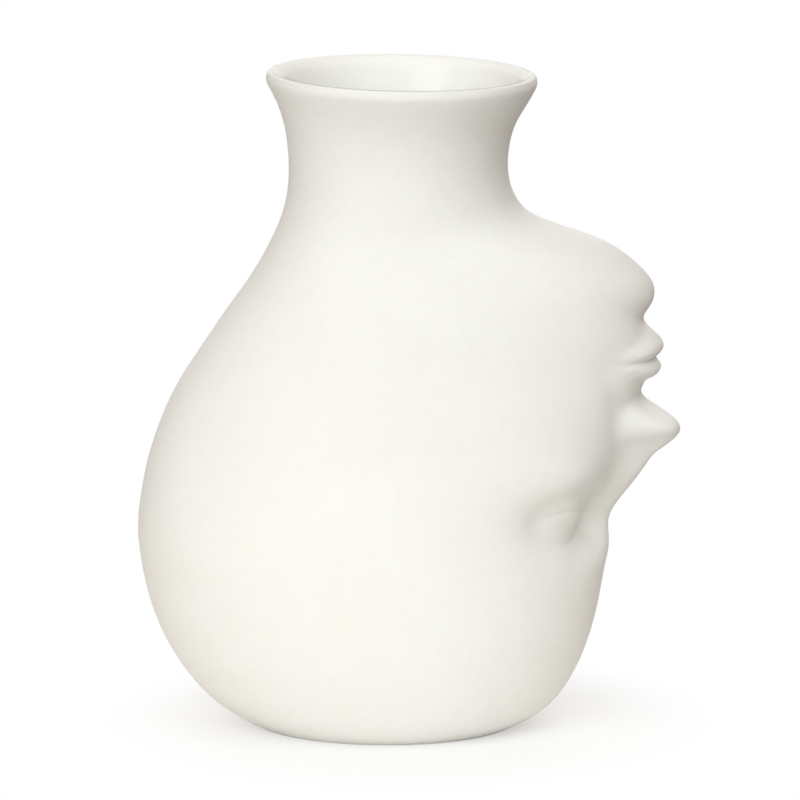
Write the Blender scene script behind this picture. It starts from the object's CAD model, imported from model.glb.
import math

import bmesh
import bpy
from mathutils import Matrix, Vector


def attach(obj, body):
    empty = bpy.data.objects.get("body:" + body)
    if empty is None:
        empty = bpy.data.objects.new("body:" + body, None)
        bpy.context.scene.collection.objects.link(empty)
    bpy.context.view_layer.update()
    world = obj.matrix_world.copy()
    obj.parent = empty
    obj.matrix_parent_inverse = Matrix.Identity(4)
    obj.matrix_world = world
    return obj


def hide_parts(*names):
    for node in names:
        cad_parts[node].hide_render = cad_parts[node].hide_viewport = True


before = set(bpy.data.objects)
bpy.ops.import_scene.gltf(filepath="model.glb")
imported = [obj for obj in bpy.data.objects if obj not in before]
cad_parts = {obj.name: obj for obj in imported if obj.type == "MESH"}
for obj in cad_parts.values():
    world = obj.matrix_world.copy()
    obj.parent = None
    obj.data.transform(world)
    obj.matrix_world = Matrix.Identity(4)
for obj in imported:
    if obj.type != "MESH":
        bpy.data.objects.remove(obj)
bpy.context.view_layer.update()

# The porcelain head.
# One slip-cast shell of unglazed porcelain: crown, face, neck and lip came out of one plaster mould.
# It was fettled and sponged while leather-hard, then fired to a dry, warm white bisque.

weld_distance = 0.00001
subdivisions = 2
foot_height, foot_sharpness = 0.0015, 0.9

# The roll of the lip: distances out from the axis of the neck, and drops from the sloping crest.
neck_axis = -0.00324
crest_height, crest_slope = 0.27987, -0.0181
roll_middle, roll_outside = 0.0565, 0.0568
widest_drop, widest_reach, widest_shift = 0.0029, 0.0035, 0.0008
fill_drop, fill_reach, fill_edge, fill = 0.002, 0.005, 0.003, 0.0015


def only(piece):
    bpy.ops.object.select_all(action="DESELECT")
    piece.select_set(True)
    bpy.context.view_layer.objects.active = piece


def bell(v):
    return math.exp(-v * v)


def round_out_lip(piece):
    """Makes the roll of the lip fuller inwards, and widest a little lower, as a sponge leaves it."""
    for vertex in piece.data.vertices:
        out = Vector((vertex.co.x - neck_axis, vertex.co.y, 0))
        drop = crest_height + crest_slope * out.x - vertex.co.z
        if out.length > roll_outside:
            shift = widest_shift * (drop / widest_drop - 1) * bell((drop - widest_drop) / widest_reach)
        else:
            inside = min(1, max(0, (roll_middle - out.length) / fill_edge))
            shift = -inside * fill * bell((drop - fill_drop) / fill_reach)
        vertex.co += out.normalized() * shift


def casting(name):
    """A copy of the cast wall from the frame, with its triangles joined back into squares."""
    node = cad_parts["ceramic_body"]
    piece = node.copy()
    piece.data = node.data.copy()
    piece.name = piece.data.name = name
    for key in [k for k in piece.keys() if k.startswith("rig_")]:
        del piece[key]
    piece.parent = None
    piece.hide_viewport = piece.hide_render = False
    bpy.context.scene.collection.objects.link(piece)
    piece.hide_set(False)
    piece.data.materials.clear()
    only(piece)
    if piece.data.has_custom_normals:
        bpy.ops.mesh.customdata_custom_splitnormals_clear()
    bpy.ops.object.mode_set(mode="EDIT")
    bpy.ops.mesh.select_all(action="SELECT")
    bpy.ops.mesh.remove_doubles(threshold=weld_distance)
    bpy.ops.mesh.tris_convert_to_quads(face_threshold=math.pi, shape_threshold=math.pi)
    bpy.ops.object.mode_set(mode="OBJECT")
    round_out_lip(piece)
    return piece


def crease(piece, chosen, sharpness):
    mesh = bmesh.new()
    mesh.from_mesh(piece.data)
    layer = mesh.edges.layers.float.get("crease_edge") or mesh.edges.layers.float.new("crease_edge")
    for edge in mesh.edges:
        if chosen(edge):
            edge[layer] = sharpness
    mesh.to_mesh(piece.data)
    mesh.free()


def finish_with(piece, kind, **settings):
    """Adds a modifier with its settings and applies it."""
    only(piece)
    modifier = piece.modifiers.new(kind.lower(), kind)
    for setting, value in settings.items():
        setattr(modifier, setting, value)
    bpy.ops.object.modifier_apply(modifier=modifier.name)


head = casting("porcelain_head")
crease(head, lambda edge: all(v.co.z < foot_height for v in edge.verts), foot_sharpness)
finish_with(head, "SUBSURF", levels=subdivisions, render_levels=subdivisions)
bpy.ops.object.shade_smooth()

# The fine lines of the face are drawn with a tool in the wet clay: the seam of each pair of closed
# lids, the fold over it, the line where the lips meet, and the nostrils. Their heights are measured
# from the chin along the leaning face, towards the crown on which the head stands. A share is how
# much of the eye's or the mouth's length a line runs along before it fades.
face_lean = math.radians(10)
forward = Vector((math.cos(face_lean), 0, -math.sin(face_lean)))
tilt_middle = Vector((neck_axis, 0, 0.05928))
tilt_to_chin = 0.16074
face_starts, least_facing = 0.02, 0.1

eye_height, eye_side, eye_length = 0.114, 0.0316, 0.030
lid_seam_drop, lid_seam_curve, lid_seam_width, lid_seam_depth = 0.006, 0.0045, 0.0009, 0.00055
lid_fold_rise, lid_fold_curve, lid_fold_width, lid_fold_depth = 0.0088, 0.0062, 0.0010, 0.0005
lid_seam_share, lid_fold_share = 0.98, 0.88

mouth_height, mouth_width = 0.0434, 0.050
lip_bow, lip_bow_width, lip_curve = 0.0011, 0.005, 0.0014
lip_seam_width, lip_seam_depth, lip_seam_share = 0.0009, 0.0007, 0.94

nostril_height, nostril_side = 0.0646, 0.0065
nostril_width, nostril_length, nostril_depth = 0.0024, 0.0018, 0.0016


def flat_bell(v):
    return math.exp(-abs(v) ** 6)


def line_depth(side, height):
    """How deep the tool went at a place on the face."""
    along_eye = (side - eye_side) / (eye_length / 2)
    along_mouth = side / (mouth_width / 2)
    from_seam = height - eye_height + lid_seam_drop - lid_seam_curve * along_eye ** 2
    from_fold = height - eye_height - lid_fold_rise + lid_fold_curve * along_eye ** 2
    from_lips = height - mouth_height + lip_bow * bell(side / lip_bow_width) - lip_curve * along_mouth ** 2
    seam = lid_seam_depth * bell(from_seam / lid_seam_width) * flat_bell(along_eye / lid_seam_share)
    fold = lid_fold_depth * bell(from_fold / lid_fold_width) * flat_bell(along_eye / lid_fold_share)
    lips = lip_seam_depth * bell(from_lips / lip_seam_width) * flat_bell(along_mouth / lip_seam_share)
    nostril = (nostril_depth * bell((side - nostril_side) / nostril_width)
               * bell((height - nostril_height) / nostril_length))
    return seam + fold + lips + nostril


mesh = bmesh.new()
mesh.from_mesh(head.data)
mesh.normal_update()
for vertex in mesh.verts:
    if vertex.co.x > face_starts and vertex.normal.dot(forward) > least_facing:
        away = vertex.co - tilt_middle
        height = tilt_to_chin - away.x * math.sin(face_lean) - away.z * math.cos(face_lean)
        vertex.co -= forward * line_depth(abs(vertex.co.y), height)
mesh.to_mesh(head.data)
mesh.free()

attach(head, "root")
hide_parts("ceramic_body")


def new_material(name):
    material = bpy.data.materials.new(name)
    material.use_nodes = True
    return material, material.node_tree.nodes, material.node_tree.links


def noise(nodes, links, vector, scale, detail=2, rough=0.5):
    texture = nodes.new("ShaderNodeTexNoise")
    texture.inputs["Scale"].default_value = scale
    texture.inputs["Detail"].default_value = detail
    texture.inputs["Roughness"].default_value = rough
    links.new(vector, texture.inputs["Vector"])
    return texture.outputs["Fac"]


def ramp(nodes, links, value, stops):
    """A colour ramp over a value, from (place, colour) stops."""
    colours = nodes.new("ShaderNodeValToRGB")
    while len(colours.color_ramp.elements) < len(stops):
        colours.color_ramp.elements.new(0.5)
    for element, (place, colour) in zip(colours.color_ramp.elements, stops):
        element.position = place
        element.color = (*colour, 1)
    links.new(value, colours.inputs["Fac"])
    return colours.outputs["Color"]


def spread(nodes, links, value, from_range, to_range):
    """Maps a value smoothly from one range to another."""
    mapped = nodes.new("ShaderNodeMapRange")
    mapped.interpolation_type = "SMOOTHSTEP"
    for name, number in zip(("From Min", "From Max", "To Min", "To Max"), (*from_range, *to_range)):
        mapped.inputs[name].default_value = number
    links.new(value, mapped.inputs["Value"])
    return mapped.outputs["Result"]


def dots(nodes, links, vector, scale, from_range, to_range):
    """Small round dots, one in each cell of a pattern of points."""
    cells = nodes.new("ShaderNodeTexVoronoi")
    cells.inputs["Scale"].default_value = scale
    links.new(vector, cells.inputs["Vector"])
    return spread(nodes, links, cells.outputs["Distance"], from_range, to_range)


def bump(nodes, links, height, distance, below=None):
    """A bump of a real height, laid over the one below it."""
    relief = nodes.new("ShaderNodeBump")
    relief.inputs["Distance"].default_value = distance
    links.new(height, relief.inputs["Height"])
    if below is not None:
        links.new(below, relief.inputs["Normal"])
    return relief.outputs["Normal"]


def tinted(nodes, links, colour, tint, amount):
    """Multiplies a colour by a tint, as far as the amount says."""
    mixed = nodes.new("ShaderNodeMix")
    mixed.data_type = "RGBA"
    mixed.blend_type = "MULTIPLY"
    sockets = {s.identifier: s for s in mixed.inputs}
    links.new(colour, sockets["A_Color"])
    sockets["B_Color"].default_value = (*tint, 1)
    links.new(amount, sockets["Factor_Float"])
    return {s.identifier: s for s in mixed.outputs}["Result_Color"]


# Hand-finished clay is never quite even: slow waves left by the sponge, in both materials.
sponge = bpy.data.node_groups.new("sponge_waves", "ShaderNodeTree")
sponge.interface.new_socket("Vector", in_out="INPUT", socket_type="NodeSocketVector")
sponge.interface.new_socket("Size", in_out="INPUT", socket_type="NodeSocketFloat")
sponge.interface.new_socket("Height", in_out="OUTPUT", socket_type="NodeSocketFloat")
nodes, links = sponge.nodes, sponge.links
group_in = nodes.new("NodeGroupInput")
group_out = nodes.new("NodeGroupOutput")
wave = nodes.new("ShaderNodeTexNoise")
wave.inputs["Detail"].default_value = 1.5
wave.inputs["Distortion"].default_value = 0.4
links.new(group_in.outputs["Vector"], wave.inputs["Vector"])
links.new(group_in.outputs["Size"], wave.inputs["Scale"])
links.new(wave.outputs["Fac"], group_out.inputs["Height"])


def sponge_waves(nodes, links, vector, size):
    group = nodes.new("ShaderNodeGroup")
    group.node_tree = sponge
    group.inputs["Size"].default_value = size
    links.new(vector, group.inputs["Vector"])
    return group.outputs["Height"]


bisque, nodes, links = new_material("bisque_porcelain")
shader = nodes["Principled BSDF"]
shader.inputs["IOR"].default_value = 1.45
shader.inputs["Specular IOR Level"].default_value = 0.22
shader.inputs["Subsurface Weight"].default_value = 0.12
shader.inputs["Subsurface Radius"].default_value = (1.0, 0.62, 0.4)
shader.inputs["Subsurface Scale"].default_value = 0.004
place = nodes.new("ShaderNodeTexCoord").outputs["Object"]

# Colour: clouds of cream and cooler white, fine mottling, sparse pale brown specks, a rubbed foot.
cream, cool = (0.864, 0.854, 0.815), (0.884, 0.883, 0.860)
mottle_tint, speck_tint, rub_tint = (0.975, 0.965, 0.945), (0.80, 0.74, 0.66), (0.955, 0.945, 0.92)
clouds = noise(nodes, links, place, scale=9, detail=3, rough=0.55)
body_colour = ramp(nodes, links, clouds, [(0.35, cream), (0.66, cool)])
mottling = noise(nodes, links, place, scale=210, detail=3, rough=0.6)
mottled = spread(nodes, links, mottling, from_range=(0.42, 0.75), to_range=(0, 0.5))
body_colour = tinted(nodes, links, body_colour, mottle_tint, mottled)
specks = dots(nodes, links, place, scale=90, from_range=(0.035, 0.018), to_range=(0, 0.6))
body_colour = tinted(nodes, links, body_colour, speck_tint, specks)
apart = nodes.new("ShaderNodeSeparateXYZ")
links.new(place, apart.inputs["Vector"])
rubbed = spread(nodes, links, apart.outputs["Z"], from_range=(0.006, 0.0005), to_range=(0, 0.7))
body_colour = tinted(nodes, links, body_colour, rub_tint, rubbed)
links.new(body_colour, shader.inputs["Base Color"])

# Roughness: dry, and a little smoother where hands and the sponge have polished it.
handling = noise(nodes, links, place, scale=26, detail=3)
dryness = spread(nodes, links, handling, from_range=(0.3, 0.7), to_range=(0.58, 0.70))
links.new(dryness, shader.inputs["Roughness"])

# Surface: sponge waves, the plaster mould's bloom, fired grain, and pinholes.
wave_height, bloom_height, grain_height, pinhole_depth = 0.00045, 0.00006, 0.00003, 0.00012
bloom = noise(nodes, links, place, scale=160, detail=3, rough=0.6)
grain = noise(nodes, links, place, scale=1500)
pinholes = dots(nodes, links, place, scale=140, from_range=(0.02, 0.045), to_range=(0, 1))
normal = bump(nodes, links, sponge_waves(nodes, links, place, size=24), wave_height)
normal = bump(nodes, links, bloom, bloom_height, below=normal)
normal = bump(nodes, links, grain, grain_height, below=normal)
normal = bump(nodes, links, pinholes, pinhole_depth, below=normal)
links.new(normal, shader.inputs["Normal"])
head.data.materials.append(bisque)

# The glaze inside.
# Clear white glaze, poured in and out again before the last firing. It lines the whole inside, and
# thins out almost to nothing just inside the crest of the lip, which was wiped bare with a sponge.

glaze_thickness = 0.0005
thinnest_share = 0.12
thinning_top, thinning_bottom = 0.279, 0.266
over_foot, flat_enough = 0.004, 0.9
bowl_height, bowl_slope = 0.06, 0.3


def faces_inwards(face):
    middle = face.calc_center_median()
    out = Vector((middle.x - neck_axis, middle.y, 0)).normalized()
    return face.normal.dot(out) < 0


def in_bowl(face):
    """The floor, and the wall where it curves up from it: faces low down that look upwards."""
    return face.calc_center_median().z < bowl_height and face.normal.z > bowl_slope


lining = casting("glaze_inside")
mesh = bmesh.new()
mesh.from_mesh(lining.data)
mesh.normal_update()
floor =[f for f in mesh.faces if f.normal.z > flat_enough and f.calc_center_median().z > over_foot]
middle_of_floor = min(floor, key=lambda f: f.calc_center_median().xy.length + f.calc_center_median().z)
wetted = {middle_of_floor}
edge_of_pour = [middle_of_floor]
while edge_of_pour:
    for edge in edge_of_pour.pop().edges:
        for face in edge.link_faces:
            if face not in wetted and (in_bowl(face) or faces_inwards(face)):
                wetted.add(face)
                edge_of_pour.append(face)
bmesh.ops.delete(mesh, geom=[f for f in mesh.faces if f not in wetted], context="FACES")
mesh.to_mesh(lining.data)
mesh.free()
coat = lining.vertex_groups.new(name="coat")
for vertex in lining.data.vertices:
    share = (thinning_top - vertex.co.z) / (thinning_top - thinning_bottom)
    coat.add([vertex.index], min(1, max(thinnest_share, share)), "REPLACE")
finish_with(lining, "SOLIDIFY", thickness=glaze_thickness, offset=0.5, use_even_offset=True,
            vertex_group=coat.name)
finish_with(lining, "SUBSURF", levels=subdivisions, render_levels=subdivisions)
bpy.ops.object.shade_smooth()
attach(lining, "root")
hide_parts("glaze_lining")

# Its gloss and colour change a little where it pooled and where it ran thin, over a faint orange peel.
glaze, nodes, links = new_material("clear_white_glaze")
shader = nodes["Principled BSDF"]
shader.inputs["IOR"].default_value = 1.5
place = nodes.new("ShaderNodeTexCoord").outputs["Object"]
pooled, thin = (0.880, 0.882, 0.856), (0.902, 0.899, 0.870)
pools = noise(nodes, links, place, scale=12)
links.new(ramp(nodes, links, pools, [(0.35, pooled), (0.65, thin)]), shader.inputs["Base Color"])
uneven = noise(nodes, links, place, scale=40)
gloss = spread(nodes, links, uneven, from_range=(0.3, 0.7), to_range=(0.16, 0.24))
links.new(gloss, shader.inputs["Roughness"])
peel_height, ripple_height = 0.00012, 0.00001
orange_peel = bump(nodes, links, sponge_waves(nodes, links, place, size=60), peel_height)
ripples = bump(nodes, links, noise(nodes, links, place, scale=420), ripple_height, below=orange_peel)
links.new(ripples, shader.inputs["Normal"])
lining.data.materials.append(glaze)

# The table and the white sweep behind it.
# A small table of white paper, which catches a faint shadow by the foot. The camera sees it fade out
# to pure white, but beyond its edge the studio is dim and throws little light back.

sweep_size, gap_under_foot = 12, 0.0002
paper_white, studio_dim = (0.95, 0.94, 0.92), (0.16, 0.15, 0.14)
table_middle = (-0.12, -0.25, 0)

bpy.ops.object.select_all(action="DESELECT")
bpy.ops.mesh.primitive_plane_add(size=sweep_size, location=(0, 0, -gap_under_foot))
sweep = bpy.context.object
sweep.name = "white_sweep"
paper, nodes, links = new_material("white_paper")
shader = nodes["Principled BSDF"]
shader.inputs["Roughness"].default_value = 0.9
shader.inputs["Specular IOR Level"].default_value = 0.1
place = nodes.new("ShaderNodeTexCoord").outputs["Object"]


def distance_from(middle):
    measured = nodes.new("ShaderNodeVectorMath")
    measured.operation = "DISTANCE"
    measured.inputs[1].default_value = middle
    links.new(place, measured.inputs[0])
    return measured.outputs["Value"]


table_edge = spread(nodes, links, distance_from(table_middle), from_range=(0.30, 0.60), to_range=(0, 1))
links.new(ramp(nodes, links, table_edge, [(0, paper_white), (1, studio_dim)]), shader.inputs["Base Color"])
fade = spread(nodes, links, distance_from((0, 0, 0)), from_range=(0.05, 0.14), to_range=(0.5, 1))
seen = nodes.new("ShaderNodeMath")
seen.operation = "MULTIPLY"
links.new(fade, seen.inputs[0])
links.new(nodes.new("ShaderNodeLightPath").outputs["Is Camera Ray"], seen.inputs[1])
white = nodes.new("ShaderNodeEmission")
blend = nodes.new("ShaderNodeMixShader")
links.new(seen.outputs["Value"], blend.inputs["Fac"])
links.new(shader.outputs["BSDF"], blend.inputs[1])
links.new(white.outputs["Emission"], blend.inputs[2])
links.new(blend.outputs["Shader"], nodes["Material Output"].inputs["Surface"])
sweep.data.materials.append(paper)

# The light tent.
# Dim warm cloth all round the table, with four softly glowing patches where lamps shine through it.
# The camera and every glossy surface see it as pure white.

cloth_glow = (0.345, 0.275, 0.215)
patch_tightness = 26
patches = {  # degrees round from the front to the right, degrees up, and glow
    "low_left": (-22, 8, (1.76, 1.90, 1.96)),
    "front": (2, 28, (1.60, 1.76, 1.83)),
    "high_right": (34, 58, (2.02, 2.24, 2.32)),
    "behind": (182, 12, (3.4, 3.5, 3.55)),
}
world = bpy.data.worlds.new("light_tent")
bpy.context.scene.world = world
world.use_nodes = True
nodes, links = world.node_tree.nodes, world.node_tree.links
towards = nodes.new("ShaderNodeTexCoord").outputs["Generated"]


def pointing(turn, rise):
    """The direction that lies so many degrees round from the front to the right, and so many up."""
    turn, rise = math.radians(turn), math.radians(rise)
    return math.sin(turn) * math.cos(rise), -math.cos(turn) * math.cos(rise), math.sin(rise)


def vector_step(operation, value, other):
    """One step of vector arithmetic, on a link and either a second link or plain numbers."""
    step = nodes.new("ShaderNodeVectorMath")
    step.operation = operation
    links.new(value, step.inputs[0])
    if isinstance(other, tuple):
        step.inputs[1].default_value = other
    else:
        links.new(other, step.inputs[1])
    return step.outputs["Value" if operation == "DOT_PRODUCT" else "Vector"]


# A patch fades with the angle from its middle: half of one plus the cosine, to the power of tightness.
glow = cloth_glow
for turn, rise, colour in patches.values():
    half = nodes.new("ShaderNodeMath")
    half.operation = "MULTIPLY_ADD"
    half.inputs[1].default_value = half.inputs[2].default_value = 0.5
    links.new(vector_step("DOT_PRODUCT", towards, pointing(turn, rise)), half.inputs[0])
    patch = nodes.new("ShaderNodeMath")
    patch.operation = "POWER"
    patch.inputs[1].default_value = patch_tightness
    links.new(half.outputs["Value"], patch.inputs[0])
    glow = vector_step("ADD", vector_step("MULTIPLY", patch.outputs["Value"], colour), glow)
tent = nodes["Background"]
links.new(glow, tent.inputs["Color"])
pure_white = nodes.new("ShaderNodeBackground")
pure_white.inputs["Color"].default_value = (1, 1, 1, 1)
path = nodes.new("ShaderNodeLightPath")
rays = path.outputs["Is Camera Ray"]
for kind in ("Is Glossy Ray", "Is Transmission Ray"):
    either = nodes.new("ShaderNodeMath")
    either.operation = "MAXIMUM"
    links.new(rays, either.inputs[0])
    links.new(path.outputs[kind], either.inputs[1])
    rays = either.outputs["Value"]
shown = nodes.new("ShaderNodeMixShader")
links.new(rays, shown.inputs["Fac"])
links.new(tent.outputs["Background"], shown.inputs[1])
links.new(pure_white.outputs["Background"], shown.inputs[2])
links.new(shown.outputs["Shader"], nodes["World Output"].inputs["Surface"])

# The lamp and the camera.
# One broad soft lamp on the left, turned to the middle of the vase. The camera stands at the
# photograph's height and angle, far enough back for a long lens.

middle_of_view = Vector((-0.00383, 0, 0.13927))
lamp_place, lamp_size, lamp_power = Vector((-1.1, -2.2, 1.3)), 1.4, 10
camera_turn, camera_rise, camera_distance = 5.5, 10.5, 3.3
focal_length, sensor_width, farthest_seen = 349.3, 36, 30

lamp = bpy.data.lights.new("lamp_left", "AREA")
lamp.size = lamp_size
lamp.energy = lamp_power
holder = bpy.data.objects.new("lamp_left", lamp)
bpy.context.scene.collection.objects.link(holder)
holder.location = lamp_place
holder.rotation_euler = (middle_of_view - lamp_place).to_track_quat("-Z", "Y").to_euler()

lens = bpy.data.cameras.new("camera")
lens.lens = focal_length
lens.sensor_width = sensor_width
lens.clip_end = farthest_seen
camera = bpy.data.objects.new("camera", lens)
bpy.context.scene.collection.objects.link(camera)
back = Vector(pointing(camera_turn, camera_rise))
camera.location = middle_of_view + back * camera_distance
camera.rotation_euler = (-back).to_track_quat("-Z", "Y").to_euler()
bpy.context.scene.camera = camera
bpy.context.scene.view_settings.view_transform = "Standard"
